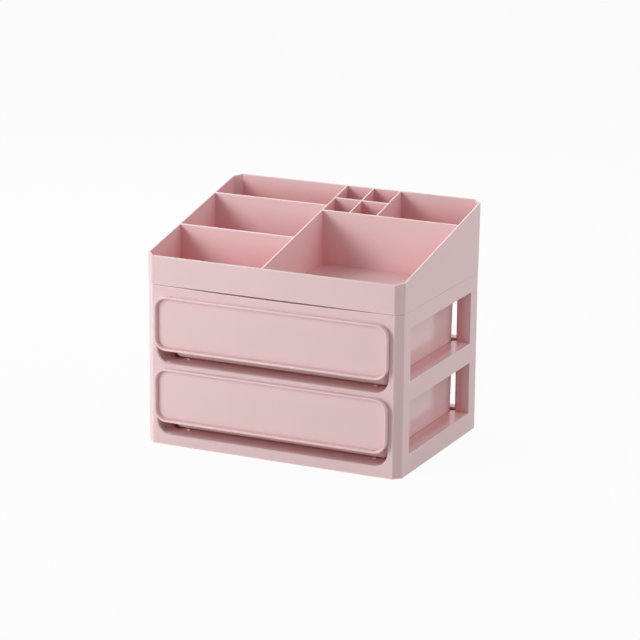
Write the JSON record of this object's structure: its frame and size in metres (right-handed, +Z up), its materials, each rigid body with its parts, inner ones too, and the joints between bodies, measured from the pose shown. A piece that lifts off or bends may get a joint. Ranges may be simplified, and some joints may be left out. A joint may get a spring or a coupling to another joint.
{
  "type": "desktop storage box with drawers",
  "caption": "Desktop organiser: a divided tray with a sloping rim, lifting off a windowed frame whose drawers slide out by finger pockets behind raised-rim fronts.",
  "frame": {"origin": "middle of the whole box's footprint, drawer fronts included, on the surface that it stands on", "axes": "+Z up, -Y towards the user and the way the drawers open, +X to the user's right"},
  "size_m": [0.2468, 0.1824, 0.2104],
  "materials": {
    "tray_plastic": "satin moulded, pink",
    "frame_plastic": "satin moulded, pink",
    "drawer_plastic": "satin moulded, pink"
  },
  "bodies": {
    "frame": {"front_frame": "frame_plastic", "rear_frame": "frame_plastic", "left_side_panel": "frame_plastic", "right_side_panel": "frame_plastic", "base_panel": "frame_plastic", "middle_shelf": "frame_plastic", "top_panel": "frame_plastic"},
    "tray": {"top_tray": "tray_plastic"},
    "upper_drawer": {"upper_drawer_box": "drawer_plastic", "upper_drawer_front": "drawer_plastic"},
    "lower_drawer": {"lower_drawer_box": "drawer_plastic", "lower_drawer_front": "drawer_plastic"}
  },
  "joints": [
    {"name": "upper_drawer_slide", "type": "slide", "parent": "frame", "child": "upper_drawer", "axis": [0, -1, 0], "range_m": [0, 0.12]},
    {"name": "lower_drawer_slide", "type": "slide", "parent": "frame", "child": "lower_drawer", "axis": [0, -1, 0], "range_m": [0, 0.12]},
    {"name": "tray_lift", "type": "slide", "parent": "frame", "child": "tray", "axis": [0, 0, 1], "range_m": [0, 0.06]}
  ]
}
